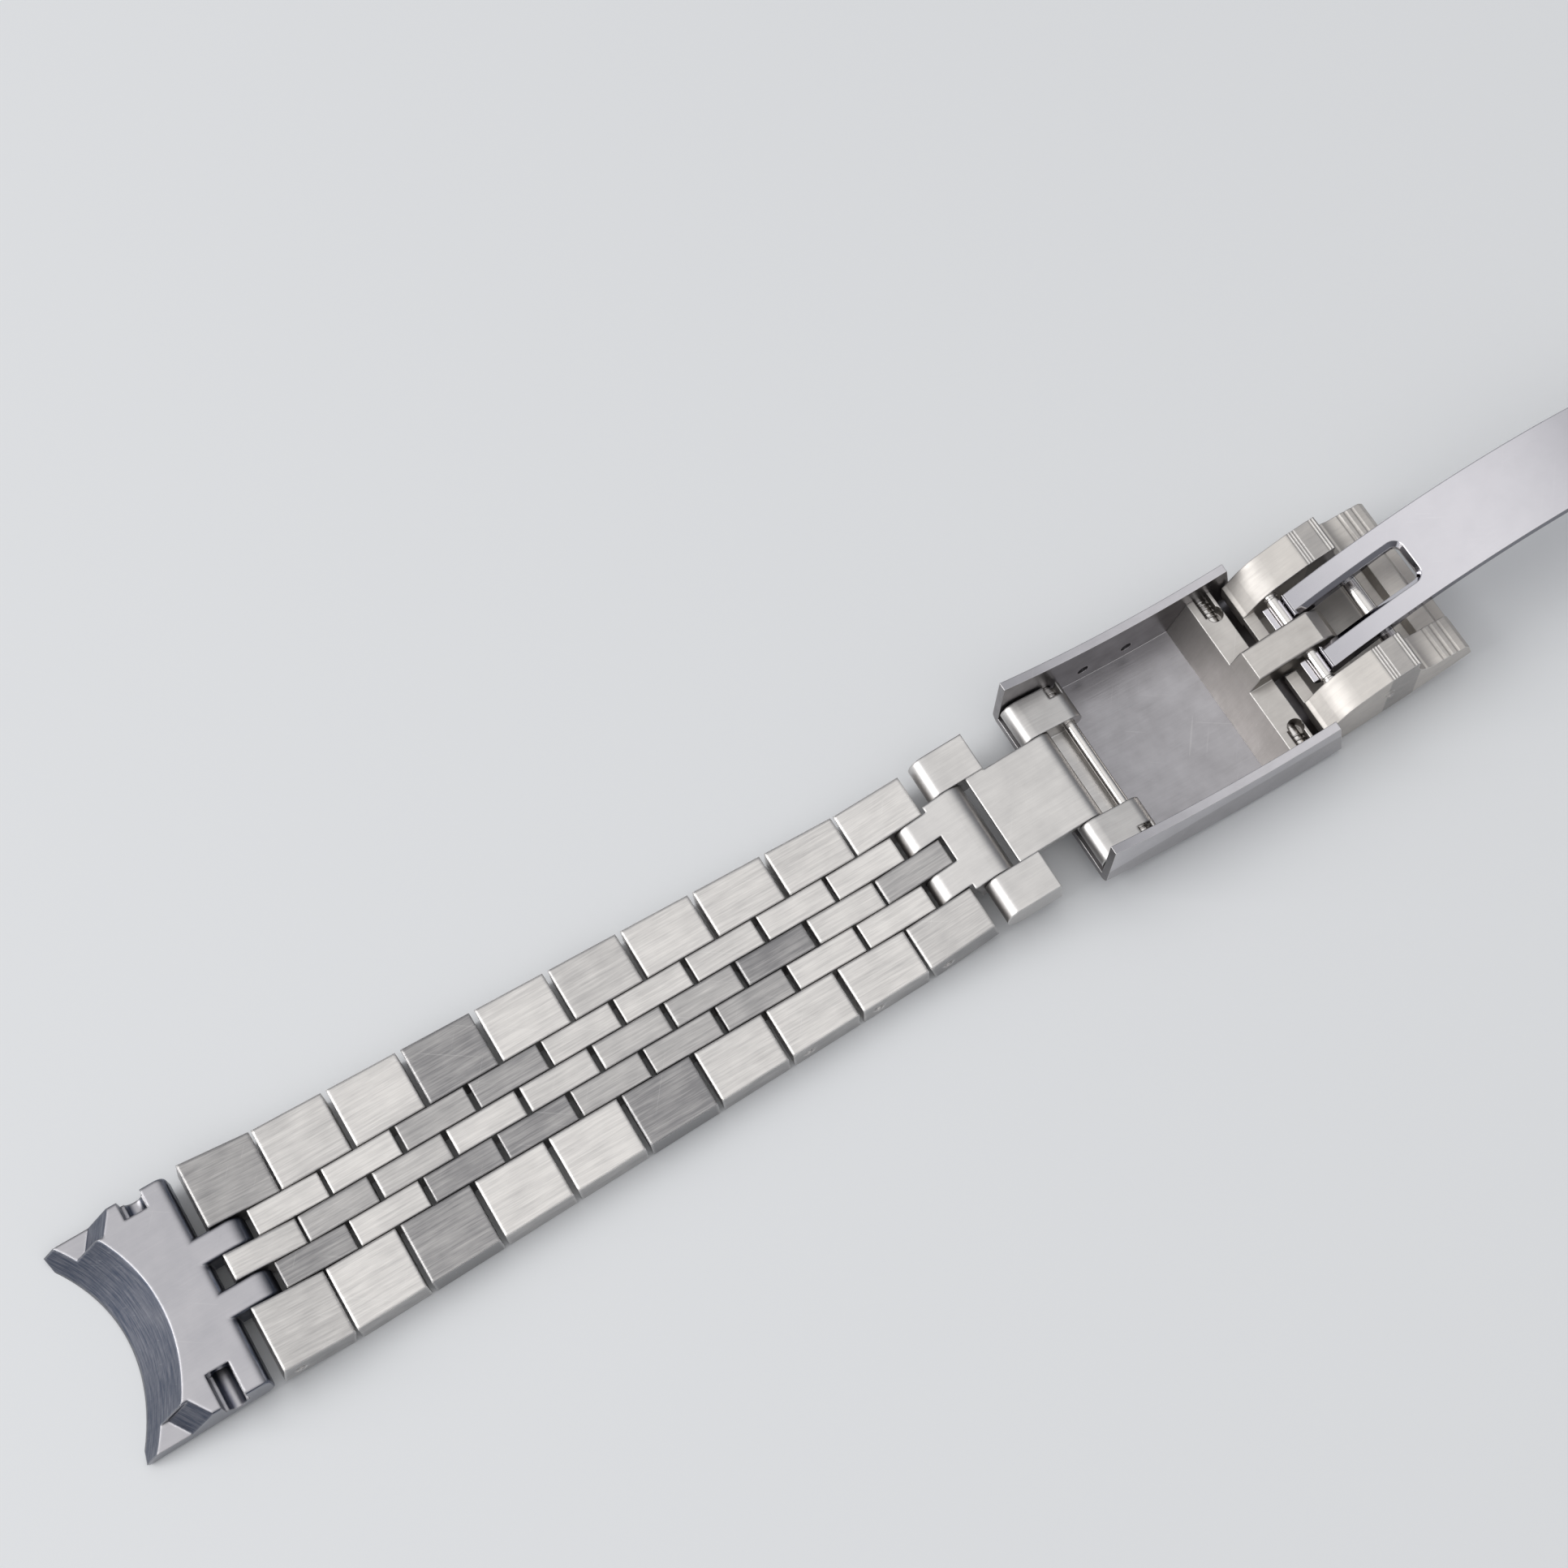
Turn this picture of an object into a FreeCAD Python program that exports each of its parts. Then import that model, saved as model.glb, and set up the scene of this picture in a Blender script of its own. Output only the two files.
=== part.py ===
import FreeCAD, Part
import math
import os

# Five link watch bracelet with a folding clasp, opened and laid on its outer face.
# X runs along the bracelet, Y across it, +Z is the skin side.  Millimetres.
# Every side view below is drawn in the XZ plane and pushed out along Y.

V = FreeCAD.Vector

# Reach of every cut that must pass right through, sideways and upwards
beyond = 30.0
tall = 9.0

# Rows of links
pitch = 7.1
pin_step = pitch / 2
link_gap = 0.48
link_length = pitch - link_gap
thick = 3.2
half_thick = thick / 2
column = 2.5
side_gap = 0.08
width_at_case = 20.0
width_at_clasp = 16.0
row_count_long = 10
row_count_short = 9
crisp = 0.12
soft = 0.3
bead_crown = 6.5
pin_r = 0.5
pin_play = 0.05
pin_sink = 0.25
blind_wall = 1.4
slot_width = 0.28
slot_depth = 0.3

inner_half = column / 2 + side_gap + column
outer_start = inner_half + side_gap

# Lie of the long half on the table, degrees of rise along the bracelet
case_rise = (5.0, 11.0)
fork_rise = (4.0, 10.0, 15.0)
clevis_rise = (1.5, 5.0, 11.0)

# End link that meets the watch case
end_gap = 1.05
end_top_reach = 7.5
end_foot_reach = 12.0
case_cut_r = 22.0
spring_bore_r = 0.8
spring_bore_x = -5.9
spring_bore_z = -0.1
notch_width = 2.2
notch_deep = 1.8
slot_deep = 3.2
tab_from = 8.0
tab_back = 1.3
tab_drop = 2.4
prong_round = 0.35

# Fork link and folding extension
fork_half = 4.4
fork_reach = 4.15
body_start = 2.05
barrel_r = 1.55
ext_step = 9.3
ext_r = 1.3
ext_half_width = 8.2
ext_plate_half = 4.4
ext_plate_thick = 0.62
ext_ear_reach = 3.9
carrier_step = 3.5
carrier_straight = 0.06
fold_pin_r = 0.55

# Clasp cover, an open channel bent round a long radius
bend_r = 70.0
cover_from = -17.8
cover_to = 7.2
lip_slant = -1.2
wall = 0.8
floor_thick = 0.8
cover_half = 9.2
rim_height = 6.6
edge_round = 0.75
inner_half_cover = cover_half - wall
carrier_s = -13.2
carrier_h = 2.5
dimple_r = 0.55
dimple_step = 4.75
dimple_count = 2
dimple_from = -9.0
tip_sink = 0.5
bar_tip_r = 0.45

# Hinge block and tongue
block_front = 0.3
block_slope = 2.0
block_top_to = 4.8
block_height = 4.4
tongue_half = 1.55
tongue_height = 6.4
tongue_to = 12.2
block_bar_s = 3.75
block_bar_h = 2.9
block_bar_r = 0.6
bar_slot_width = 1.5
bar_slot_long = 2.1

# Main clasp hinge, shared by lever and long blade
hinge_s = 9.0
hinge_h = 5.2
hinge_r = 0.65
knuckle_r = 1.25

# Release lever
lever_half = 8.2
arm_inner = 4.75
lever_from = 6.1
lever_plate_from = 7.5
lever_to = 21.5
lever_plate = 0.9
arm_front_height = 4.2
arm_brow_s = 8.6
arm_brow_height = 6.15
arm_height = 7.0
crest_from = 13.3
crest_to = 17.0
scoop_r = 2.35
lip_from = 18.5
lip_height = 3.5
lip_fall = 1.0
rib_from = 18.5
rib_to = 20.3
rib_height = 2.5
roller_s = 16.0
roller_h = 4.1
roller_r = 0.75
roller_journal_r = 0.4
stud_s = 13.0
stud_h = 4.0
stud_r = 0.5
stud_out = 0.3
ridge_count = 3
ridge_step = 0.3
ridge_deep = 0.06
lip_ridge_step = 0.75
lip_ridge_deep = 0.12

# Blades
blade_half = 4.0
blade_thick = 1.0
blade_r = 55.0
blade_long = 34.0
fork_slot_half = 1.8
fork_slot_long = 11.4
second_offset = 2.0
second_flat_from = 35.0
second_end = (23.6, 8.7)
blade_rise = 9.8
blade_end_r = 1.3
centre_knuckle_half = 2.0
knuckle_gap = 0.08
bevel = 0.45
ear_long = 10.0
prong_back = 0.6
slot_corner_r = 0.6


def box(x0, x1, y0, y1, z0, z1):
    return Part.makeBox(x1 - x0, y1 - y0, z1 - z0, V(x0, y0, z0))


def rod(x, z, r, y0, y1):
    return Part.makeCylinder(r, y1 - y0, V(x, y0, z), V(0, 1, 0))


def slab(points, y0, y1):
    corners = [V(x, y0, z) for x, z in points]
    face = Part.Face(Part.makePolygon(corners + corners[:1]))
    return face.extrude(V(0, y1 - y0, 0))


def plan(points, z0, z1):
    corners = [V(x, y, z0) for x, y in points]
    face = Part.Face(Part.makePolygon(corners + corners[:1]))
    return face.extrude(V(0, 0, z1 - z0))


def joined(first, *others):
    return first.fuse(list(others)).removeSplitter()


def both_sides(shape):
    return shape, shape.mirror(V(0, 0, 0), V(0, 1, 0))


def turned(shape, pivot, degrees):
    out = shape.copy()
    out.rotate(V(pivot[0], 0, pivot[1]), V(0, -1, 0), degrees)
    return out


def turned_point(point, pivot, degrees):
    a = math.radians(degrees)
    dx = point[0] - pivot[0]
    dz = point[1] - pivot[1]
    return (pivot[0] + dx * math.cos(a) - dz * math.sin(a), pivot[1] + dx * math.sin(a) + dz * math.cos(a))


def ahead(point, distance, degrees):
    a = math.radians(degrees)
    return (point[0] + distance * math.cos(a), point[1] + distance * math.sin(a))


def placed(shape, at, rise, mirrored=False):
    out = shape.copy()
    if mirrored:
        out = out.mirror(V(0, 0, 0), V(1, 0, 0))
    out.rotate(V(0, 0, 0), V(0, -1, 0), rise)
    out.translate(V(at[0], 0, at[1]))
    return out


def top_edges(shape, z):
    return [e for e in shape.Edges if abs(e.BoundBox.ZMin - z) < 1e-6 and abs(e.BoundBox.ZMax - z) < 1e-6]


def softened(shape, skin_r, outer_r):
    out = shape.makeFillet(skin_r, top_edges(shape, half_thick))
    return out.makeFillet(outer_r, top_edges(out, -half_thick))


# Rows
def half_width(x, x_case, x_clasp):
    share = (x - x_clasp) / (x_case - x_clasp)
    return (width_at_clasp + (width_at_case - width_at_clasp) * share) / 2


def beads(shape):
    drum = rod(0, bead_crown - half_thick, bead_crown, -beyond, beyond)
    return shape.common(drum.fuse(box(-tall, tall, -beyond, beyond, 0, tall)))


def outer_link(wide_case, wide_clasp, far_side):
    a = link_length / 2
    block = plan([(-a, outer_start), (a, outer_start), (a, wide_clasp), (-a, wide_case)], -half_thick, half_thick)
    block = softened(block, crisp, soft)
    if not far_side:
        block = block.mirror(V(0, 0, 0), V(0, 1, 0))
    return block


def centre_link():
    block = box(-link_length / 2, link_length / 2, -column / 2, column / 2, -half_thick, half_thick)
    return beads(softened(block, crisp, crisp))


def row_pin(x, reach_near, reach_far, slotted):
    pin = rod(x, 0, pin_r, -reach_near, reach_far)
    if slotted:
        cut = box(x - 1, x + 1, -reach_near, -reach_near + slot_depth, -slot_width / 2, slot_width / 2)
        pin = pin.cut(cut)
    return pin


def row(wide_case, wide_clasp, removable):
    far = outer_link(wide_case, wide_clasp, True)
    near = outer_link(wide_case, wide_clasp, False)
    middle = centre_link()
    least = min(wide_case, wide_clasp)
    pins = []
    for x in (-pin_step / 2, pin_step / 2):
        open_end = removable and x < 0
        reach_near = least - (pin_sink if open_end else blind_wall)
        pin = row_pin(x, reach_near, least - blind_wall, open_end)
        hole = rod(x, 0, pin_r, -beyond if open_end else -reach_near, least - blind_wall)
        far = far.cut(hole)
        near = near.cut(hole)
        middle = middle.cut(hole)
        pins.append(pin)
    return Part.makeCompound([far, middle, near] + pins)


def pair_link():
    block = box(-link_length / 2, link_length / 2, column / 2 + side_gap, inner_half, -half_thick, half_thick)
    block = beads(softened(block, crisp, crisp))
    for x in (-pin_step / 2, pin_step / 2):
        block = block.cut(rod(x, 0, pin_r + pin_play, 0, tall))
    return block


def pair():
    return Part.makeCompound(both_sides(pair_link()))


# Prongs reach one hinge pin at the origin and point along +X
def prongs(back_to):
    front = (pin_step - link_gap) / 2
    one = box(back_to, front, column / 2 + side_gap, inner_half, -half_thick, half_thick)
    nose = rod(front - half_thick, 0, half_thick, -beyond, beyond).fuse(box(-beyond, front - half_thick, -beyond, beyond, -tall, tall))
    one = one.common(nose)
    return both_sides(one)


def soft_prong(one):
    return one.makeFillet(prong_round, [e for e in one.Edges if e.BoundBox.YLength < 1e-6 and e.BoundBox.XLength > 2
                                        and e.CenterOfMass.z > half_thick - 0.01])


def end_link():
    edge = -(link_length / 2 - pin_step / 2) - end_gap
    half = width_at_case / 2
    foot = (-end_foot_reach - 2.6, -half_thick - foot_drop)
    outline = [(edge, -half_thick), (edge, half_thick), (-16, half_thick), foot, (-8, -half_thick - foot_drop * 0.45)]
    body = slab(outline, -half, half)
    body = body.makeFillet(0.9, [e for e in body.Edges if abs(e.BoundBox.XMin - edge) < 1e-6
                                 and abs(e.BoundBox.XMax - edge) < 1e-6 and e.BoundBox.YLength > 1])
    lean = V(end_top_reach - end_foot_reach, 0, -thick - foot_drop).normalize()
    across = V(lean.z, 0, -lean.x).normalize()
    start = V(-end_top_reach, 0, half_thick) + across * case_cut_r - lean * beyond
    body = body.cut(Part.makeCylinder(case_cut_r, 3 * beyond, start, lean))
    arc_end = -end_top_reach - case_cut_r + math.sqrt(case_cut_r ** 2 - tab_from ** 2)
    facet = Part.Face(Part.makePolygon([V(arc_end, tab_from, half_thick), V(arc_end + tab_back, half, half_thick),
                                        V(arc_end + tab_back, half + 1, half_thick), V(-beyond, half + 1, half_thick),
                                        V(-beyond, tab_from, half_thick), V(arc_end, tab_from, half_thick)]))
    for piece in both_sides(facet.extrude(lean * (tab_drop / -lean.z))):
        body = body.cut(piece)
    body = joined(body, *[soft_prong(one) for one in prongs(edge - 1)])
    rim = [e for e in top_edges(body, half_thick) if e.BoundBox.XMin < edge - 1.2 and e.BoundBox.YLength < 4]
    body = body.makeFillet(0.3, rim) if rim else body
    body = body.cut(rod(spring_bore_x, spring_bore_z, spring_bore_r, -beyond, beyond))
    a = notch_width / 2
    body = body.cut(box(spring_bore_x - a, spring_bore_x + a, half - notch_deep, half + 1, spring_bore_z, tall))
    body = body.cut(box(spring_bore_x - a, spring_bore_x + a, -half - 1, -half + slot_deep, spring_bore_z, tall))
    return body.cut(rod(0, 0, pin_r + pin_play, -inner_half - 0.01, inner_half + 0.01))


# Fork link: prongs at the origin pin pointing along -X, barrel on the other pin
def fork_link():
    tip = box(body_start, fork_reach, -fork_half, fork_half, -half_thick, half_thick)
    barrel = rod(fork_reach, 0, half_thick, -fork_half, fork_half)
    arms = [p.mirror(V(0, 0, 0), V(1, 0, 0)) for p in prongs(-3)]
    body = joined(tip, barrel, *arms)
    body = body.cut(box(-3, link_length / 2 - pin_step / 2 + 0.4, -column / 2 - side_gap, column / 2 + side_gap, -tall, tall))
    body = body.cut(rod(0, 0, pin_r + pin_play, -tall, tall))
    return body.cut(rod(fork_reach, 0, fold_pin_r + pin_play, -tall, tall))


# Clasp: s runs along the bent outer face, h rises from it towards the skin
def at(s, h):
    a = s / bend_r
    return ((bend_r - h) * math.sin(a), bend_r - (bend_r - h) * math.cos(a))


def arc_edge(s0, s1, h):
    ends = [V(at(s, h)[0], 0, at(s, h)[1]) for s in (s0, (s0 + s1) / 2, s1)]
    return Part.Arc(*ends).toShape()


def straight(p, q):
    return Part.makeLine(V(p[0], 0, p[1]), V(q[0], 0, q[1]))


def bent(s0, s1, h0, h1, y0, y1, s0_top=None, s1_top=None):
    s0_top = s0 if s0_top is None else s0_top
    s1_top = s1 if s1_top is None else s1_top
    edges = [arc_edge(s0, s1, h0), straight(at(s1, h0), at(s1_top, h1))]
    edges += [arc_edge(s1_top, s0_top, h1), straight(at(s0_top, h1), at(s0, h0))]
    face = Part.Face(Part.Wire(edges))
    out = face.extrude(V(0, y1 - y0, 0))
    out.translate(V(0, y0, 0))
    return out


def clasp_rod(s, h, r, y0, y1):
    x, z = at(s, h)
    return rod(x, z, r, y0, y1)


def clasp_slab(points, y0, y1):
    return slab([at(s, h) for s, h in points], y0, y1)


def cover():
    shell = bent(cover_from, cover_to, 0, rim_height, -cover_half, cover_half, cover_from + lip_slant, cover_to - 0.4)
    low = [e for e in shell.Edges if e.BoundBox.YLength < 1e-6 and abs(e.CenterOfMass.z) < 3.2
           and e.BoundBox.XLength > 10 and e.CenterOfMass.z < rim_height / 2]
    shell = shell.makeFillet(edge_round, low)
    hollow = bent(cover_from - 2, cover_to + 2, floor_thick, rim_height + 1, -inner_half_cover, inner_half_cover)
    shell = shell.cut(hollow)
    hx, hz = at(hinge_s, hinge_h)
    end_cut = rod(hx, hz, hinge_h + 0.35, -inner_half_cover, inner_half_cover)
    shell = shell.cut(end_cut)
    deep = inner_half_cover + tip_sink + pin_play
    for i in range(dimple_count):
        shell = shell.cut(clasp_rod(dimple_from + i * dimple_step, carrier_h, dimple_r, -deep, deep))
    shell = shell.cut(clasp_rod(carrier_s, carrier_h, dimple_r, -deep, deep))
    return shell.cut(clasp_rod(block_bar_s, block_bar_h, bar_tip_r, -deep, deep))


def hinge_block():
    top_from = block_front + block_slope
    base = bent(block_front, block_top_to, floor_thick, block_height, -inner_half_cover, inner_half_cover, top_from)
    hx, hz = at(hinge_s, hinge_h)
    tongue = clasp_slab([(top_from, block_height - 0.6), (top_from, block_height), (top_from + 1.1, tongue_height - 0.3),
                         (top_from + 4, tongue_height), (hinge_s + 1.6, tongue_height), (tongue_to - 0.5, tongue_height - 0.9),
                         (tongue_to, tongue_height - 2), (tongue_to - 0.3, 3.4), (block_top_to - 0.5, 3.2),
                         (block_top_to - 0.5, 2.2), (top_from, 2.2)], -tongue_half, tongue_half)
    tongue = tongue.makeFillet(0.25, [e for e in tongue.Edges if e.BoundBox.YLength < 1e-6 and e.CenterOfMass.z > 5.9])
    body = joined(base, tongue)
    body = body.cut(rod(hx, hz, hinge_r, -tall, tall))
    body = body.cut(clasp_rod(block_bar_s, block_bar_h, block_bar_r, -beyond, beyond))
    a = bar_slot_width / 2
    slot = bent(block_bar_s - a, block_bar_s + a, block_bar_h, tall, inner_half_cover - bar_slot_long, beyond)
    end = V(at(block_bar_s, 0)[0], inner_half_cover - bar_slot_long, 0)
    slot = slot.fuse(Part.makeCylinder(a, tall, end, V(0, 0, 1)).common(bent(-tall, beyond, block_bar_h, tall, 0, beyond)))
    for one in both_sides(slot):
        body = body.cut(one)
    return body


def block_bar():
    deep = inner_half_cover + tip_sink + pin_play
    thin = clasp_rod(block_bar_s, block_bar_h, bar_tip_r, -deep, deep)
    thick_part = clasp_rod(block_bar_s, block_bar_h, block_bar_r, -inner_half_cover + 0.5, inner_half_cover - 0.5)
    collar = clasp_rod(block_bar_s, block_bar_h, block_bar_r, -inner_half_cover, -inner_half_cover + 0.25)
    return thin.fuse([thick_part, collar, collar.mirror(V(0, 0, 0), V(0, 1, 0))])


def hinge_pin():
    x, z = at(hinge_s, hinge_h)
    pin = rod(x, z, hinge_r, -lever_half + 0.3, lever_half - 0.3)
    for y in (-4.5, 4.3):
        ring = rod(x, z, hinge_r + 1, y, y + 0.2).cut(rod(x, z, hinge_r - 0.12, y, y + 0.2))
        pin = pin.cut(ring)
    return pin


def crest(s):
    return arm_height - (s - crest_from) * 0.03


def lip(s):
    return lip_height - (s - lip_from) * lip_fall / (lever_to - lip_from)


def lever_arm():
    outline = [(lever_from, 1.9), (lever_from, arm_front_height - 0.3), (lever_from + 0.4, arm_front_height),
               (arm_brow_s, arm_brow_height), (crest_from, arm_height), (crest_to, crest(crest_to)),
               (crest_to, lip(crest_to)), (lever_to - 0.3, lip(lever_to)), (lever_to, lip(lever_to) - 0.6),
               (lever_to, lever_plate / 2), (lever_plate_from, lever_plate / 2), (lever_plate_from, 1.9)]
    arm = clasp_slab(outline, arm_inner, lever_half)
    brow_x, brow_z = at(arm_brow_s, arm_brow_height)
    arm = arm.makeFillet(5.0, [e for e in arm.Edges if abs(e.BoundBox.XMin - brow_x) < 1e-5
                               and abs(e.BoundBox.ZMin - brow_z) < 1e-5 and e.BoundBox.YLength > 1])
    scoop_x, scoop_z = at(lip_from + 0.4, lip_height + scoop_r - 0.15)
    arm = arm.cut(rod(scoop_x, scoop_z, scoop_r, 0, beyond))
    for i in range(ridge_count):
        for s in (crest_from + (i + 1) * ridge_step, crest_to - 0.35 - i * ridge_step):
            arm = arm.cut(clasp_rod(s, crest(s) + 0.04, ridge_deep + 0.04, 0, beyond))
        s = lip_from + (i + 0.7) * lip_ridge_step
        arm = arm.cut(clasp_rod(s, lip(s) + 0.1, lip_ridge_deep + 0.1, 0, beyond))
    x, z = at(stud_s, stud_h)
    dome_r = (stud_r ** 2 + stud_out ** 2) / (2 * stud_out)
    dome = Part.makeSphere(dome_r, V(x, lever_half - dome_r + stud_out, z))
    dome = dome.common(box(x - 2, x + 2, lever_half - 0.2, beyond, z - 2, z + 2))
    return joined(arm, dome)


def lever():
    plate = bent(lever_plate_from, lever_to, 0, lever_plate, -lever_half, lever_half)
    lug = clasp_slab([(lever_from, 2.6), (lever_from, 3.8), (lever_from + 1.2, 3.8), (lever_from + 1.2, 2.6)],
                     tongue_half + 0.25, arm_inner + 0.5)
    rib = clasp_slab([(rib_from - 0.7, lever_plate / 2), (rib_from, rib_height), (rib_to, rib_height),
                      (rib_to + 0.4, lever_plate / 2)], -arm_inner - 0.1, arm_inner + 0.1)
    body = joined(plate, rib, *both_sides(lever_arm()), *both_sides(lug))
    x, z = at(hinge_s, hinge_h)
    body = body.cut(rod(x, z, hinge_r + pin_play, -lever_half + 0.25, lever_half - 0.25))
    return body.cut(clasp_rod(roller_s, roller_h, roller_journal_r, -lever_half + 0.5, lever_half - 0.5))


def roller():
    bar = clasp_rod(roller_s, roller_h, roller_r, -arm_inner, arm_inner)
    axle = clasp_rod(roller_s, roller_h, roller_journal_r, -lever_half + 0.5, lever_half - 0.5)
    return bar.fuse(axle).removeSplitter()


# Folding extension between the fork link and the cover
def extension_link():
    ears = []
    ear = box(0, ext_ear_reach, fork_half + side_gap, ext_half_width, -barrel_r, barrel_r)
    ear = ear.fuse(rod(0, 0, barrel_r, fork_half + side_gap, ext_half_width)).removeSplitter()
    plate = box(fork_reach_clear, ext_step, -ext_plate_half, ext_plate_half, ext_r - ext_plate_thick, ext_r)
    plate = plate.fuse(rod(ext_step, 0, ext_r, -ext_plate_half, ext_plate_half))
    tie = box(fork_reach_clear, ext_ear_reach, -fork_half - 0.5, fork_half + 0.5, ext_r - ext_plate_thick, ext_r)
    body = joined(plate, tie, *both_sides(ear))
    body = body.cut(rod(0, 0, fold_pin_r, -ext_half_width + 0.3, beyond))
    body = body.cut(rod(0, 0, fold_pin_r, -beyond, 0).common(box(-tall, tall, -ext_half_width + 0.3, 0, -tall, tall)))
    return body.cut(rod(ext_step, 0, fold_pin_r + pin_play, -tall, tall))


def extension_pin():
    return rod(0, 0, fold_pin_r, -ext_half_width + 0.3, ext_half_width - 0.3)


# Carrier of the extension: hinge to the extension link at the origin, spring bar at +X
def carrier():
    inner = ext_plate_half + side_gap
    ear = box(0, carrier_step, inner, ext_half_width, -ext_r, ext_r)
    ear = ear.fuse([rod(0, 0, ext_r, inner, ext_half_width), rod(carrier_step, 0, ext_r, inner, ext_half_width)])
    web = box(ext_r + 0.35, carrier_step + 0.4, -inner - 0.5, inner + 0.5, -ext_r, -ext_r + 0.5)
    body = joined(web, *both_sides(ear.removeSplitter()))
    for one in both_sides(box(carrier_step - 0.7, carrier_step + 0.7, ext_half_width - 1.2, beyond, 0, tall)):
        body = body.cut(one)
    body = body.cut(rod(0, 0, fold_pin_r, -ext_half_width + 0.5, ext_half_width - 0.5))
    return body.cut(rod(carrier_step, 0, fold_pin_r + pin_play, -beyond, beyond))


def carrier_pin():
    return rod(0, 0, fold_pin_r, -ext_half_width + 0.5, ext_half_width - 0.5)


def spring_bar():
    bar = clasp_rod(carrier_s, carrier_h, fold_pin_r, -ext_half_width, ext_half_width)
    tips = clasp_rod(carrier_s, carrier_h, bar_tip_r - 0.05, -inner_half_cover - tip_sink, inner_half_cover + tip_sink)
    return bar.fuse(tips).removeSplitter()


# Clevis link of the short half, round the barrel that ends the second blade
def clevis_link():
    inner = blade_half + side_gap
    body = box(body_start, clevis_reach - blade_end_r - 0.4, -ext_half_width, ext_half_width, -half_thick, half_thick)
    ear = box(clevis_reach - 2.5, clevis_reach, inner, ext_half_width, -half_thick, half_thick)
    ear = ear.fuse(rod(clevis_reach, 0, half_thick, inner, ext_half_width)).removeSplitter()
    arms = [p.mirror(V(0, 0, 0), V(1, 0, 0)) for p in prongs(-3)]
    body = joined(body, *both_sides(ear), *arms)
    body = body.cut(box(-3, link_length / 2 - pin_step / 2 + 0.4, -column / 2 - side_gap, column / 2 + side_gap, -tall, tall))
    body = body.cut(rod(0, 0, pin_r + pin_play, -tall, tall))
    return body.cut(rod(clevis_reach, 0, fold_pin_r, -ext_half_width + 0.3, ext_half_width - 0.3))


def clevis_pin():
    return rod(clevis_reach, 0, fold_pin_r, -ext_half_width + 0.3, ext_half_width - 0.3)


# Blades, drawn folded into the cover
def polar(r, travel):
    a = blade_start - travel / blade_r
    return (blade_centre[0] + r * math.cos(a), blade_centre[1] + r * math.sin(a))


def band(r_mid, t0, t1, y0, y1, half=None):
    half = blade_thick / 2 if half is None else half
    edges = []
    for r in (r_mid - half, r_mid + half):
        ends = [V(polar(r, t)[0], 0, polar(r, t)[1]) for t in (t0, (t0 + t1) / 2, t1)]
        edges.append(Part.Arc(*ends).toShape())
    for t in (t0, t1):
        edges.append(straight(polar(r_mid - half, t), polar(r_mid + half, t)))
    face = Part.Face(Part.Wire(Part.__sortEdges__(edges)))
    out = face.extrude(V(0, y1 - y0, 0))
    out.translate(V(0, y0, 0))
    return out


def first_blade():
    hx, hz = hinge
    fx, fz = fold
    body = band(blade_r, 0, blade_long, -blade_half, blade_half)
    eye = rod(hx, hz, knuckle_r, -blade_half, blade_half)
    knuckle = rod(fx, fz, blade_end_r, -centre_knuckle_half, centre_knuckle_half)
    relief = rod(fx, fz, blade_end_r + 0.3, centre_knuckle_half, beyond)
    for one in both_sides(relief):
        body = body.cut(one)
    under = blade_r - blade_thick * 0.4
    ear = slab([polar(blade_r - knuckle_r, 0), polar(under, ear_long), polar(under, 2), hinge], fork_slot_half, blade_half)
    body = joined(body, eye, knuckle, *both_sides(ear))
    slot = band(blade_r, -3, fork_slot_long, -fork_slot_half, fork_slot_half, 3)
    slot_end = polar(blade_r, fork_slot_long)
    slot = slot.makeFillet(slot_corner_r, [e for e in slot.Edges if e.BoundBox.YLength < 1e-6
                                           and abs(e.CenterOfMass.x - slot_end[0]) < 0.1])
    body = body.cut(slot)
    edges = []
    for e in body.Edges:
        c = e.CenterOfMass
        far = math.hypot(c.x - blade_centre[0], c.z - blade_centre[1])
        if far > blade_r + blade_thick / 2 - 0.05 and abs(c.y) < fork_slot_half + 0.01 and c.x < hx - knuckle_r \
                and c.x > fx + 3:
            edges.append(e)
    body = body.makeChamfer(bevel, edges)
    body = body.cut(rod(hx, hz, hinge_r + pin_play, -tall, tall))
    return body.cut(rod(fx, fz, fold_pin_r + pin_play, -tall, tall))


# The prong tips are cut back so that the hinge pin shows in front of them
def opened_first():
    body = turned(first_blade(), hinge, first_turn)
    hx, hz = hinge
    return body.cut(box(hx - 3, hx + prong_back, -blade_half - 1, blade_half + 1, hz - 0.2, hz + 4))


def fold_pin():
    return rod(fold[0], fold[1], fold_pin_r, -blade_half + 0.15, blade_half - 0.15)


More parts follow.
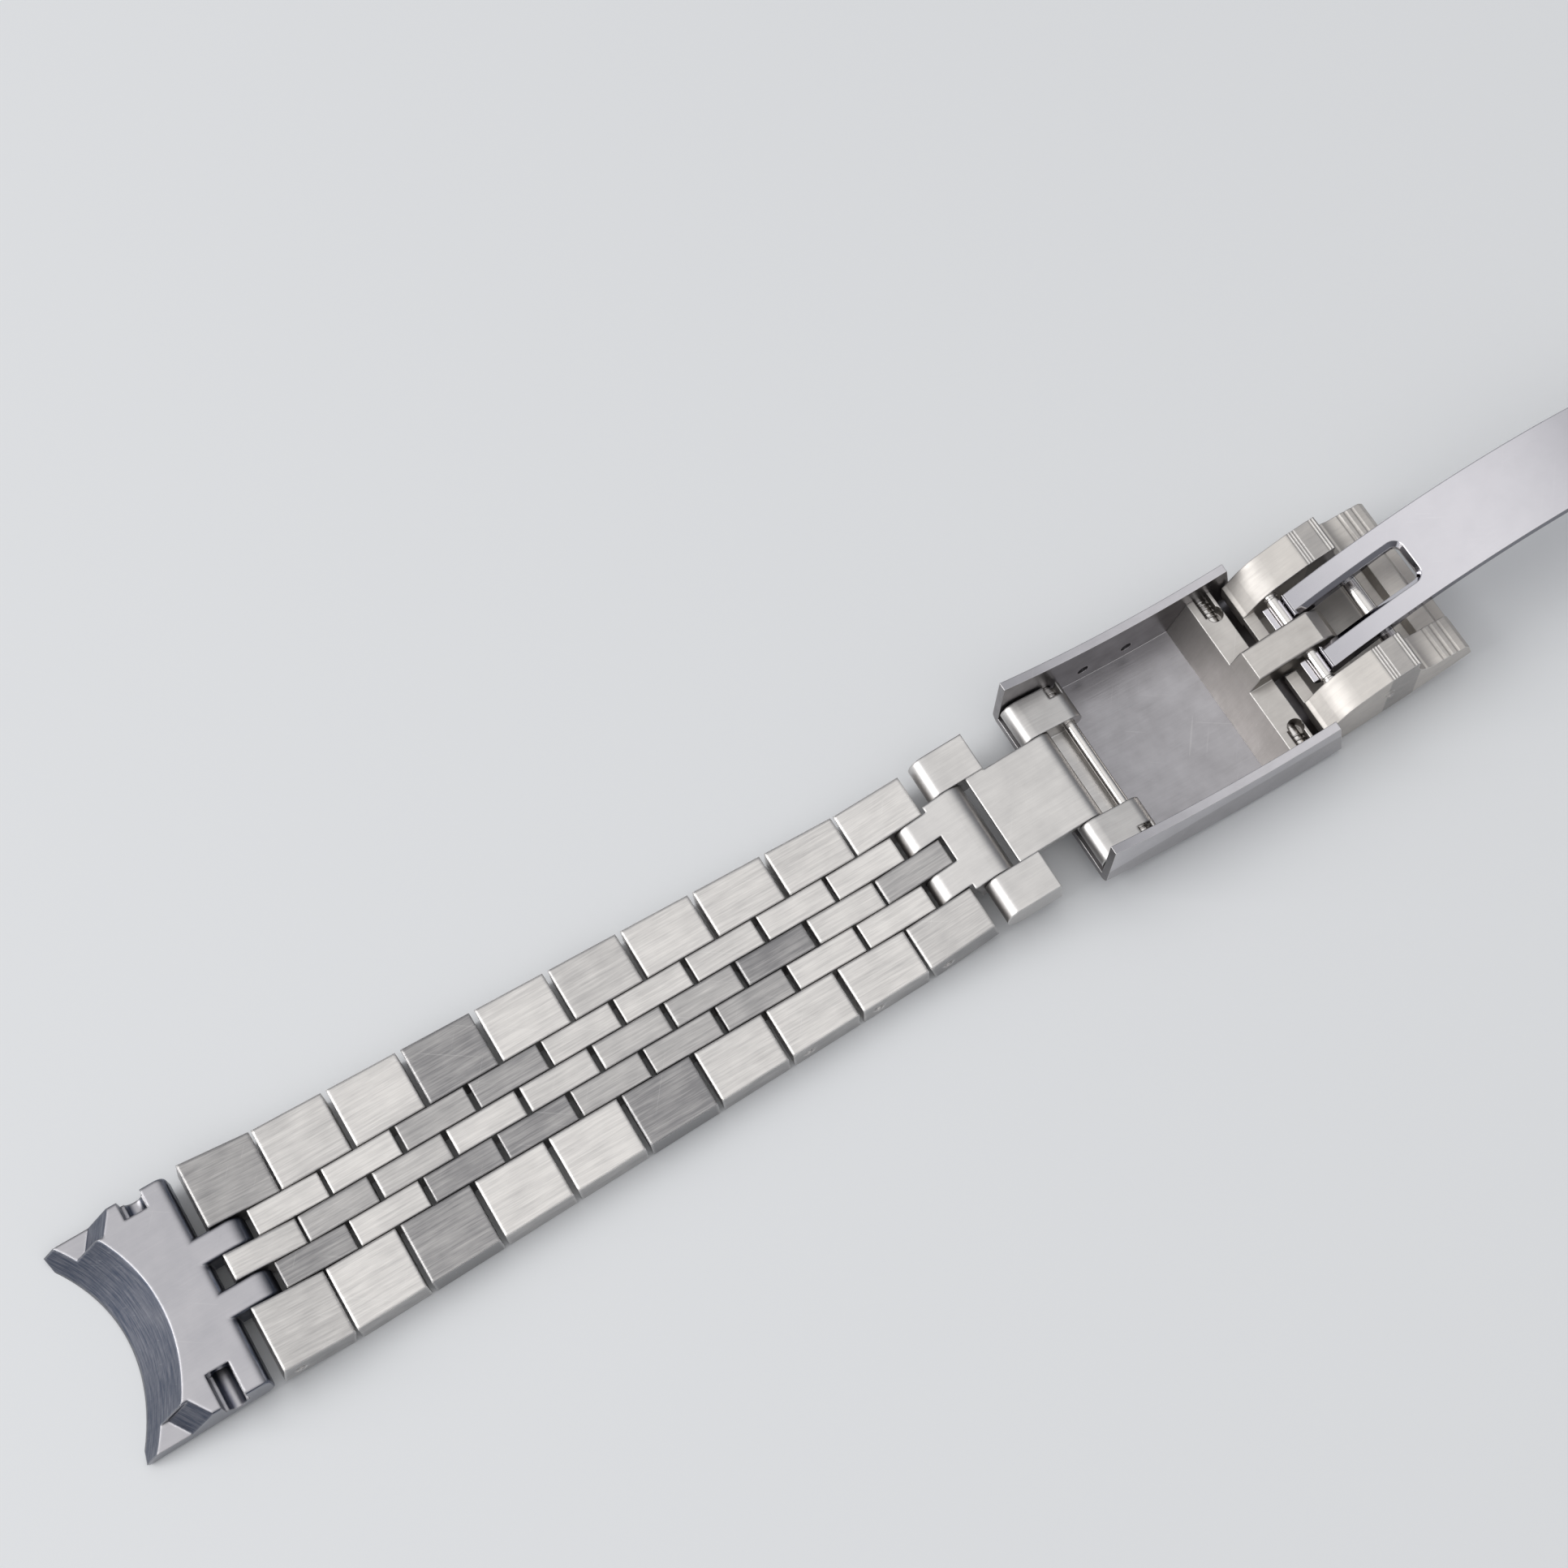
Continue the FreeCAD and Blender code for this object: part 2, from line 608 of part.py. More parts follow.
def second_blade():
    fx, fz = fold
    r_mid = blade_r - second_offset
    flat_from = polar(r_mid, blade_long - second_flat_from)
    body = band(r_mid, blade_long - second_flat_from, blade_long + 0.6, -blade_half, blade_half)
    ex, ez = second_end
    tilt = math.atan2(ez - flat_from[1], ex - flat_from[0])
    n = (-math.sin(tilt) * blade_thick / 2, math.cos(tilt) * blade_thick / 2)
    back = (math.cos(tilt) * 0.2, math.sin(tilt) * 0.2)
    flat = slab([(flat_from[0] - back[0] + n[0], flat_from[1] - back[1] + n[1]), (ex + n[0], ez + n[1]),
                 (ex - n[0], ez - n[1]), (flat_from[0] - back[0] - n[0], flat_from[1] - back[1] - n[1])],
                -blade_half, blade_half)
    barrel = rod(ex, ez, blade_end_r, -blade_half, blade_half)
    ear = rod(fx, fz, blade_end_r, centre_knuckle_half + knuckle_gap, blade_half)
    neck = band(blade_r - 1.25, blade_long - 1.1, blade_long + 0.6, centre_knuckle_half + knuckle_gap, blade_half, 1.25)
    body = joined(body, flat, barrel, *both_sides(ear), *both_sides(neck))
    body = body.cut(rod(fx, fz, fold_pin_r, -blade_half + 0.15, blade_half - 0.15))
    body = body.cut(rod(ex, ez, fold_pin_r + pin_play, -tall, tall))
    return body.cut(rivet(0.6))


def rivet(length):
    x, z = catch_root
    return Part.makeCylinder(0.5, blade_thick, V(x, 0, z) - blade_up * (blade_thick / 2), blade_up)


def catch():
    x, z = catch_root
    along = V(blade_up.z, 0, -blade_up.x)
    low = V(x, 0, z) - blade_up * (blade_thick / 2)
    corners = [low - along * 0.9, low + along * 2.0, low + along * 2.0 - blade_up * 0.6, low + along * 0.35 - blade_up * 0.9,
               low + along * 0.2 - blade_up * 2.5, low - along * 0.35 - blade_up * 2.8, low - along * 0.9 - blade_up * 2.5]
    leg = slab([(p.x, p.z) for p in corners], -catch_half, catch_half)
    return joined(leg, rivet(blade_thick))


# Places worked out from the sizes above
def meeting(p, q, rp, rq):
    d = math.hypot(q[0] - p[0], q[1] - p[1])
    a = (rp ** 2 - rq ** 2 + d ** 2) / (2 * d)
    h = math.sqrt(rp ** 2 - a ** 2)
    ux, uz = (q[0] - p[0]) / d, (q[1] - p[1]) / d
    return (p[0] + a * ux - h * uz, p[1] + a * uz + h * ux)


def rise_between(p, q):
    return math.degrees(math.atan2(q[1] - p[1], q[0] - p[0]))


def half_chain(name, start, side, count, clasp_rise, parts, hinges):
    point = start
    case_x = (count - 0.5) * pitch
    falls = {"row%d" % count: clasp_rise[1], "pair%d" % (count - 1): clasp_rise[0],
             "pair1": -case_rise[0], "row1": -case_rise[1]}
    for n in range(count, 0, -1):
        fall = falls.get("row%d" % n, 0.0)
        far = (point[0] + side * pin_step * math.cos(math.radians(fall)),
               point[1] - pin_step * math.sin(math.radians(fall)))
        middle = ((point[0] + far[0]) / 2, (point[1] + far[1]) / 2)
        along = (count - n) * pitch
        clasp_side = half_width(along, case_x, 0)
        case_side = half_width(along + link_length, case_x, 0)
        removable = n == 1 or n > count - 3
        shape = row(case_side, clasp_side, removable)
        hinges.append(("row_%s_%02d" % (name, n), point))
        parts["row_%s_%02d" % (name, n)] = placed(shape, middle, -side * fall, side > 0)
        point = far
        if n > 1:
            fall = falls.get("pair%d" % (n - 1), 0.0)
            far = (point[0] + side * pin_step * math.cos(math.radians(fall)),
                   point[1] - pin_step * math.sin(math.radians(fall)))
            middle = ((point[0] + far[0]) / 2, (point[1] + far[1]) / 2)
            hinges.append(("pair_%s_%02d" % (name, n - 1), point))
            parts["pair_%s_%02d" % (name, n - 1)] = placed(pair(), middle, -side * fall)
            point = far
    hinges.append(("end_link_%s" % name, point))
    parts["end_link_%s" % name] = placed(end_link(), point, 0, side > 0)


def sine(degrees):
    return math.sin(math.radians(degrees))


foot_drop = pin_step * (sine(case_rise[0]) + sine(case_rise[1]))
fork_reach_clear = barrel_r + 0.55
clevis_reach = 6.0
catch_half = 1.6
hinge = at(hinge_s, hinge_h)
blade_start = hinge_s / bend_r - math.pi / 2
blade_centre = (hinge[0] - blade_r * math.cos(blade_start), hinge[1] - blade_r * math.sin(blade_start))
fold = polar(blade_r, blade_long)
catch_along = 0.52
flat_start = polar(blade_r - second_offset, blade_long - second_flat_from)
catch_root = (flat_start[0] + (second_end[0] - flat_start[0]) * catch_along,
              flat_start[1] + (second_end[1] - flat_start[1]) * catch_along)
flat_angle = math.atan2(second_end[1] - flat_start[1], second_end[0] - flat_start[0])
blade_up = V(-math.sin(flat_angle), 0, math.cos(flat_angle))

fork_pin_z = half_thick + pin_step * (sine(fork_rise[0]) + sine(fork_rise[1])) + fork_reach * sine(fork_rise[2])
clevis_pin_z = half_thick + pin_step * (sine(clevis_rise[0]) + sine(clevis_rise[1])) + clevis_reach * sine(clevis_rise[2])
bar_point = at(carrier_s, carrier_h)
span = ext_step + carrier_step - carrier_straight
fork_pin = (bar_point[0] - math.sqrt(span ** 2 - (bar_point[1] - fork_pin_z) ** 2), fork_pin_z)
carrier_point = meeting(fork_pin, bar_point, ext_step, carrier_step)

first_turn = blade_rise - rise_between(hinge, fold)
fold_open = turned_point(fold, hinge, first_turn)
end_far = math.hypot(second_end[0] - fold[0], second_end[1] - fold[1])
second_angle = -math.degrees(math.asin((fold_open[1] - clevis_pin_z) / end_far))
second_turn = second_angle - rise_between(fold, second_end)


def opened_second(shape):
    out = turned(shape, fold, second_turn)
    out.translate(V(fold_open[0] - fold[0], 0, fold_open[1] - fold[1]))
    return out


def assemble():
    parts = {}
    hinges = []
    parts["clasp_cover"] = cover()
    parts["hinge_block"] = hinge_block()
    parts["block_bar"] = block_bar()
    parts["blade_hinge_pin"] = hinge_pin()
    parts["cover_spring_bar"] = spring_bar()
    parts["release_lever"] = lever()
    parts["roller_bar"] = roller()
    parts["first_blade"] = opened_first()
    parts["second_blade"] = opened_second(second_blade())
    parts["fold_pin"] = opened_second(fold_pin())
    parts["catch"] = opened_second(catch())
    end_open = ahead(fold_open, end_far, second_angle)
    clevis_prong = ahead(end_open, clevis_reach, -clevis_rise[2])
    parts["clevis_link"] = placed(clevis_link(), clevis_prong, -clevis_rise[2], True)
    parts["clevis_pin"] = placed(clevis_pin(), clevis_prong, -clevis_rise[2], True)
    carrier_rise = rise_between(carrier_point, bar_point)
    parts["extension_carrier"] = placed(carrier(), carrier_point, carrier_rise)
    parts["carrier_pin"] = placed(carrier_pin(), carrier_point, carrier_rise)
    link_rise = rise_between(fork_pin, carrier_point)
    parts["extension_link"] = placed(extension_link(), fork_pin, link_rise)
    parts["extension_pin"] = placed(extension_pin(), fork_pin, link_rise)
    fork_prong = ahead(fork_pin, -fork_reach, fork_rise[2])
    parts["fork_link"] = placed(fork_link(), fork_prong, fork_rise[2])
    hinges.append(("release_lever", hinge))
    hinges.append(("first_blade", hinge))
    hinges.append(("second_blade", fold_open))
    hinges.append(("clevis_link", end_open))
    hinges.append(("extension_carrier", bar_point))
    hinges.append(("extension_link", carrier_point))
    hinges.append(("fork_link", fork_pin))
    half_chain("long", fork_prong, -1, row_count_long, fork_rise, parts, hinges)
    half_chain("short", clevis_prong, 1, row_count_short, clevis_rise, parts, hinges)
    return parts, hinges


def main():
    parts, hinges = assemble()
    ends = [parts["end_link_%s" % half].optimalBoundingBox(False) for half in ("long", "short")]
    shift = V(-(ends[0].XMin + ends[1].XMax) / 2, 0, 0)
    os.makedirs("parts", exist_ok=True)
    for name, shape in parts.items():
        shape.translate(shift)
        shape.exportStep("parts/%s.step" % name)
    for name, point in hinges:
        print("hinge of %s: x %.4f z %.4f" % (name, point[0] + shift.x, point[1]))
        if name.startswith("end_link"):
            side = 1 if point[0] > 0 else -1
            bore_x = point[0] + shift.x - side * spring_bore_x
            print("bore of %s: x %.4f y %.4f z %.4f" % (name, bore_x, (slot_deep - notch_deep) / 2, point[1] + spring_bore_z))
    print("turn of first_blade: %.4f" % first_turn)
    print("turn of second_blade: %.4f" % second_turn)


main()
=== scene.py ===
from math import cos, pi, radians, sin

import bpy
from mathutils import Matrix, Vector


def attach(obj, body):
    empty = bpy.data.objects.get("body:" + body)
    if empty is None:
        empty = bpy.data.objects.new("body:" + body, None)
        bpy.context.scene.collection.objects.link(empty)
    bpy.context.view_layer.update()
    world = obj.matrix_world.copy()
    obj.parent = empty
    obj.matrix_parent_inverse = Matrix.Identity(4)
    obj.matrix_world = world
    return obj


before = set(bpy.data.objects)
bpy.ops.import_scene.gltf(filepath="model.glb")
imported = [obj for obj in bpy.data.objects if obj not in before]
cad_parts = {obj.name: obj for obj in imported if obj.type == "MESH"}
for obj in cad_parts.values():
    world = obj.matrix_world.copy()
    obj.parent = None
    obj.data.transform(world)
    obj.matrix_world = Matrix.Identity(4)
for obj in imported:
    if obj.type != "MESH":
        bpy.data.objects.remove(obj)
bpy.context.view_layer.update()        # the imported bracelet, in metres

mm = 0.001
print("bracelet loaded:", len(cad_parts), "nodes")


# Shader maths written as plain expressions on sockets
class Value:
    def __init__(self, maker, socket):
        self.maker = maker
        self.socket = socket

    def math(self, operation, *others):
        return self.maker.node("ShaderNodeMath", {"operation": operation}, self, *others)

    def __add__(self, other):
        return self.math("ADD", other)

    def __radd__(self, other):
        return self.math("ADD", other)

    def __sub__(self, other):
        return self.math("SUBTRACT", other)

    def __rsub__(self, other):
        return self.maker.node("ShaderNodeMath", {"operation": "SUBTRACT"}, other, self)

    def __mul__(self, other):
        return self.math("MULTIPLY", other)

    def __truediv__(self, other):
        return self.math("DIVIDE", other)

    def sibling(self, output):        # another output of the same node
        return Value(self.maker, self.socket.node.outputs[output])

    def floor(self):
        return self.math("FLOOR")

    def clamped(self):
        return self.math("MAXIMUM", 0.0).math("MINIMUM", 1.0)

    def between(self, low, high):        # 0 below low, 1 above high, smooth between
        smooth = {"interpolation_type": "SMOOTHSTEP"}
        return self.maker.node("ShaderNodeMapRange", smooth, self, low, high, 0.0, 1.0)


class Maker:
    def __init__(self, name, tree=None):
        if tree is None:
            self.material = bpy.data.materials.new(name)
            self.material.use_nodes = True
            tree = self.material.node_tree
        tree.nodes.clear()
        self.tree = tree

    def node(self, kind, settings, *values, out=0, **named):
        made = self.tree.nodes.new(kind)
        for key, value in settings.items():
            if key == "stops":
                self.fillRamp(made.color_ramp, value)
            else:
                setattr(made, key, value)
        for number, value in enumerate(values):
            self.feed(made.inputs[number], value)
        for name, value in named.items():
            self.feed(made.inputs[name.replace("_", " ")], value)
        return Value(self, made.outputs[out]) if len(made.outputs) else None

    def feed(self, socket, value):
        if isinstance(value, Value):
            self.tree.links.new(value.socket, socket)
        else:
            socket.default_value = value

    def fillRamp(self, ramp, stops):
        while len(ramp.elements) < len(stops):
            ramp.elements.new(0.5)
        for element, (place, colour) in zip(ramp.elements, stops):
            element.position = place
            element.color = colour

    def place(self):        # the spot on the piece, in metres
        return self.node("ShaderNodeTexCoord", {}, out="Object")

    def stretched(self, spot, scale):
        return self.node("ShaderNodeVectorMath", {"operation": "MULTIPLY"}, spot, scale)

    def turned(self, spot, turn):
        return self.node("ShaderNodeMapping", {}, spot, Rotation=turn)

    def noise(self, spot, scale, detail=2.0, rough=0.5):
        return self.node("ShaderNodeTexNoise", {}, Vector=self.stretched(spot, scale), Scale=1.0,
                         Detail=detail, Roughness=rough)

    def mixed(self, factor, first, second):
        made = self.tree.nodes.new("ShaderNodeMix")
        made.data_type = "RGBA"
        self.feed(made.inputs[0], factor)
        self.feed(made.inputs[6], first)
        self.feed(made.inputs[7], second)
        return Value(self, made.outputs[2])


def colour(values):
    return tuple(values) + (1.0,)


# Two directions of stray scratches: thin, long patches of noise above a threshold
scratchFade = 0.06
scratchMarks = (
    {"turn": 0.6, "scale": (90.0, 5200.0, 2000.0), "from": 0.72},
    {"turn": -0.9, "scale": (110.0, 6100.0, 1900.0), "from": 0.73},
)


# Steel with a directed brushing, a slow change of tone, stray scratches, painted edge highlights, and
# painted shade and reflections.
# A shade of 0 is the look's light colour, 1 its dark colour.
def steel(name, look):
    maker = Maker(name)
    spot = maker.place()
    grain = maker.noise(spot, look["grain"], 3.0, 0.6)
    fine = maker.noise(spot, tuple(2.7 * g for g in look["grain"]), 2.0, 0.5)
    brushed = grain * 0.6 + fine * 0.4
    cloud = maker.noise(spot, (look["cloud"],) * 3, 3.0, 0.55)
    shade = look["shade"] + (cloud - 0.5) * look["cloudTone"] + (brushed - 0.5) * look["grainTone"]
    apart = maker.node("ShaderNodeSeparateXYZ", {}, spot, out="Y")
    sideways = apart.math("ABSOLUTE")
    # Painted reflection: every link gets its own tone, standing in for links tilted slightly to mirror
    # different surroundings.
    if "cell" in look:
        cell = look["cell"]
        along = ((apart.sibling("X") - cell["start"]) / cell["pitch"]).floor()
        across = (apart / cell["column"] + 0.5).floor().math("MINIMUM", 2.0).math("MAXIMUM", -2.0)
        corner = maker.node("ShaderNodeCombineXYZ", {}, along, across, cell["seed"])
        random = maker.node("ShaderNodeTexWhiteNoise", {"noise_dimensions": "3D"}, corner)
        shade = shade + random.between(0.25, 0.9) * cell["tone"]
    marks = []
    for mark in scratchMarks:
        field = maker.noise(maker.turned(spot, (0.0, 0.0, mark["turn"])), mark["scale"], 1.0, 0.4)
        marks.append(field.between(mark["from"], mark["from"] + scratchFade))
    scratches = (marks[0] + marks[1]) * look["scratch"]
    # Painted highlight: rounded edges are brightened towards the bright tone, standing in for light
    # glinting off them.
    plain = maker.node("ShaderNodeNewGeometry", {}, out="Normal")
    bevel = maker.node("ShaderNodeBevel", {"samples": 6}, look["edge"])
    facing = maker.node("ShaderNodeVectorMath", {"operation": "DOT_PRODUCT"}, bevel, plain, out="Value")
    edge = (1.0 - facing).between(0.004, 0.12) * look["edgeWear"]
    turn = maker.node("ShaderNodeSeparateXYZ", {}, spot.sibling("Normal"), out="Y")
    # Painted reflection: faces turned sideways beyond flankFrom are darkened, standing in for dark
    # surroundings mirrored in them.
    flankFrom = look["flankFrom"]
    flank = turn.math("ABSOLUTE").between(0.80, 0.92) * sideways.between(flankFrom, flankFrom + 0.05 * mm)
    # Painted shade and dark reflection: steep faces are darkened for facing away from the light.
    steepFrom = look["uprightFrom"]
    upright = (1.0 - turn.sibling("Z").math("ABSOLUTE")).between(steepFrom, steepFrom + 0.2)
    upright = upright * (1.0 - flank)
    shade = shade + flank * look["flankShade"] + upright * look["uprightShade"]
    lines = maker.noise(spot, (500.0, 500.0, 9000.0), 3.0, 0.6)
    shade = shade + (lines - 0.5) * upright * look["uprightGrain"]
    # Painted highlight: the cover's high, upward faces are lightened, as if catching more light than the
    # floor of its channel.
    if "rim" in look:
        rim = look["rim"]
        high = apart.sibling("Z").between(rim["from"], rim["from"] + 0.4 * mm)
        shade = shade + high * (1.0 - upright) * rim["shade"]
    if "zone" in look:
        zone = look["zone"]
        inside = apart.sibling("X").between(zone["from"], zone["from"] + 0.2 * mm)
        inside = inside - apart.sibling("X").between(zone["to"] - 0.2 * mm, zone["to"])
        shade = shade + inside * zone["shade"]
    darker = maker.mixed(shade.clamped(), colour(look["light"]), colour(look["dark"]))
    # Painted edge highlights and real scratches both take the bright tone.
    worn = maker.mixed((edge + scratches).clamped(), darker, colour(look["edgeTone"]))
    rough = look["rough"] + (brushed - 0.5) * look["roughGrain"] + (cloud - 0.5) * look["roughCloud"]
    rough = rough + flank * (look["flankRough"] - look["rough"])
    rough = (rough - edge * 0.10 + scratches * 0.08).clamped()
    height = (brushed - scratches * 0.25) * (1.0 - flank)
    bump = maker.node("ShaderNodeBump", {}, Strength=look["bumpStrength"], Distance=look["bumpDepth"],
                      Height=height, Normal=bevel)
    shader = maker.node("ShaderNodeBsdfPrincipled", {}, Base_Color=worn, Metallic=1.0, Roughness=rough,
                        Normal=bump)
    maker.node("ShaderNodeOutputMaterial", {}, shader)
    return maker.material


steelLook = {
    "light": (0.76, 0.735, 0.71), "dark": (0.25, 0.245, 0.25), "edgeTone": (0.90, 0.885, 0.865),
    "shade": 0.2,
    "grain": (170.0, 4200.0, 500.0), "grainTone": 1.1, "cloud": 420.0, "cloudTone": 0.35,
    "rough": 0.34, "roughGrain": 0.16, "roughCloud": 0.12, "scratch": 0.12,
    "edge": 0.14 * mm, "edgeWear": 0.6, "bumpStrength": 0.3, "bumpDepth": 0.03 * mm,
    "flankFrom": 6.0 * mm, "flankShade": 0.25, "flankRough": 0.12, "uprightShade": 0.15,
    "uprightFrom": 0.5, "uprightGrain": 0.2,
}


def look(**changes):
    values = dict(steelLook)
    values.update(changes)
    return values


# Layout of the links for the painted per-link reflection tone.
def cells(start, seed):
    return {"pitch": 7.1 * mm, "column": 2.58 * mm, "start": start * mm, "seed": seed, "tone": 0.75}


looks = {
    "links": look(
        cell=cells(-70.92, 4.0), edge=0.42 * mm, shade=0.15, flankShade=0.5,
    ),
    "pairs": look(
        cell=cells(-67.37, 9.0), edge=0.3 * mm, shade=0.12,
    ),
    "end_links": look(
        grainTone=0.12, rough=0.36, roughGrain=0.05, bumpStrength=0.1, cloudTone=0.2,
        edge=0.32 * mm, edgeWear=0.25, shade=0.3, light=(0.64, 0.62, 0.635),
        dark=(0.09, 0.105, 0.145), uprightShade=0.6, uprightFrom=0.1, uprightGrain=0.7,
        scratch=0.08, flankShade=0.4,
    ),
    "cast_steel": look(
        grainTone=0.2, rough=0.42, cloudTone=0.4, light=(0.68, 0.65, 0.62),
        dark=(0.16, 0.145, 0.13), uprightShade=0.6,
    ),
    "cover_steel": look(
        grainTone=0.12, rough=0.34, light=(0.62, 0.605, 0.63), dark=(0.15, 0.14, 0.14), shade=0.40,
        flankFrom=8.9 * mm, flankRough=0.07, flankShade=0.1, uprightShade=0.30, edge=0.1 * mm,
        rim={"from": 4.6 * mm, "shade": -0.35},
    ),
    "lever_steel": look(
        grainTone=0.3, rough=0.52, light=(0.70, 0.665, 0.625), flankFrom=8.2 * mm, flankRough=0.08,
        shade=0.12, zone={"from": -17.2 * mm, "to": -13.9 * mm, "shade": 0.38},
    ),
    "blade_steel": look(
        grainTone=0.03, rough=0.06, roughGrain=0.03, roughCloud=0.04, bumpStrength=0.02,
        cloudTone=0.1, light=(0.66, 0.645, 0.68), dark=(0.05, 0.055, 0.09), scratch=0.05,
        shade=0.05, flankFrom=1.5 * mm, flankShade=0.85, flankRough=0.05, uprightShade=0.5,
        uprightGrain=0.0,
    ),
    "pin_steel": look(
        grainTone=0.08, rough=0.14, roughGrain=0.06, bumpStrength=0.25, bumpDepth=0.06 * mm,
        scratch=0.05, shade=0.1, uprightShade=0.0,
    ),
    "extension_steel": look(
        grainTone=0.4, rough=0.36, light=(0.72, 0.70, 0.68), edge=0.25 * mm,
    ),
}
materials = {slot: steel("steel_" + slot, values) for slot, values in looks.items()}
for name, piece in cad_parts.items():
    for entry in piece.material_slots:
        slot = entry.material.name.split(".")[0]
        if name.startswith("pair_"):
            slot = "pairs"
        if name in ("fork_link", "clevis_link"):
            slot = "extension_steel"
        if slot not in materials:
            print("no look for", name, slot)
            continue
        entry.material = materials[slot]
print("finishes:", len(materials))


# The springs around the ends of the two sprung bars, seen through the slots over them
springs = {
    "block_bar_spring": {"body": "cover", "X": -25.561, "Z": 2.996, "Radius": 0.665, "Wire": 0.075,
                         "Turns": 4.0, "From": 6.45, "Length": 1.75},
    "cover_bar_spring": {"body": "cover", "X": -41.807, "Z": 3.697, "Radius": 0.60, "Wire": 0.07,
                         "Turns": 2.0, "From": 7.1, "Length": 0.85},
}
springInputs = ("X", "Z", "Radius", "Wire", "Turns", "From", "Length")


def springTree():
    tree = bpy.data.node_groups.new("springTurns", "GeometryNodeTree")
    sockets = {}
    for name in springInputs:
        made = tree.interface.new_socket(name=name, in_out="INPUT", socket_type="NodeSocketFloat")
        sockets[name] = made.identifier
    made = tree.interface.new_socket(name="Finish", in_out="INPUT", socket_type="NodeSocketMaterial")
    sockets["Finish"] = made.identifier
    tree.interface.new_socket(name="Geometry", in_out="OUTPUT", socket_type="NodeSocketGeometry")
    maker = Maker("springTurns", tree)
    given = maker.node("NodeGroupInput", {}, out="X")
    turns = maker.node("GeometryNodeCurveSpiral", {}, Resolution=24, Rotations=given.sibling("Turns"),
                       Start_Radius=given.sibling("Radius"), End_Radius=given.sibling("Radius"),
                       Height=given.sibling("Length"))
    profile = maker.node("GeometryNodeCurvePrimitiveCircle", {}, Resolution=10,
                         Radius=given.sibling("Wire"))
    wire = maker.node("GeometryNodeCurveToMesh", {}, turns, profile, Fill_Caps=True)
    ends = tree.nodes.new("GeometryNodeJoinGeometry")
    quarter = pi / 2
    for turn, start in ((-quarter, given.sibling("From")), (quarter, 0.0 - given.sibling("From"))):
        spot = maker.node("ShaderNodeCombineXYZ", {}, given, start, given.sibling("Z"))
        end = maker.node("GeometryNodeTransform", {}, wire, Translation=spot, Rotation=(turn, 0.0, 0.0))
        tree.links.new(end.socket, ends.inputs[0])
    real = maker.node("GeometryNodeRealizeInstances", {}, Value(maker, ends.outputs[0]))
    finished = maker.node("GeometryNodeSetMaterial", {}, real, Material=given.sibling("Finish"))
    maker.node("NodeGroupOutput", {}, finished)
    return tree, sockets


def addSprings():
    tree, sockets = springTree()
    for name, values in springs.items():
        piece = bpy.data.objects.new(name, bpy.data.meshes.new(name))
        bpy.context.scene.collection.objects.link(piece)
        grow = piece.modifiers.new("grow", "NODES")
        grow.node_group = tree
        for key in springInputs:
            grow[sockets[key]] = values[key] if key == "Turns" else values[key] * mm
        grow[sockets["Finish"]] = materials["pin_steel"]
        graph = bpy.context.evaluated_depsgraph_get()
        mesh = bpy.data.meshes.new_from_object(piece.evaluated_get(graph))
        piece.modifiers.remove(grow)
        piece.data = mesh
        for face in mesh.polygons:
            face.use_smooth = True
        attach(piece, values["body"])
        print(name, len(mesh.polygons), "faces")


addSprings()


# Floor, light and camera.  The sky brightens from the horizon to straight above.
skyStops = (
    (0.0, (0.10, 0.10, 0.11, 1)),
    (0.55, (0.22, 0.23, 0.25, 1)),
    (1.0, (1.0, 1.0, 1.0, 1)),
)
studio = {
    "floor": 14.0, "floorColour": (0.83, 0.84, 0.85),
    "keyPower": 6.0, "keySize": 0.8, "keyPlace": (-0.95, 0.25, 0.55),
    "fillPower": 1.0, "fillSize": 1.2, "fillPlace": (0.6, -1.0, 0.5),
    "worldStrength": 1.15, "backdrop": (0.60, 0.61, 0.62),
}


def addFloor():
    mesh = bpy.data.meshes.new("floor")
    half = studio["floor"] / 2
    corners = [(-half, -half, 0.0), (half, -half, 0.0), (half, half, 0.0), (-half, half, 0.0)]
    mesh.from_pydata(corners, [], [(0, 1, 2, 3)])
    floor = bpy.data.objects.new("floor", mesh)
    bpy.context.scene.collection.objects.link(floor)
    maker = Maker("floorPaper")
    speck = maker.noise(maker.place(), (900.0, 900.0, 900.0), 3.0, 0.6)
    bump = maker.node("ShaderNodeBump", {}, Strength=0.05, Distance=0.1 * mm, Height=speck)
    paper = maker.node("ShaderNodeBsdfPrincipled", {}, Base_Color=colour(studio["floorColour"]),
                       Roughness=0.7, Normal=bump)
    maker.node("ShaderNodeOutputMaterial", {}, paper)
    mesh.materials.append(maker.material)


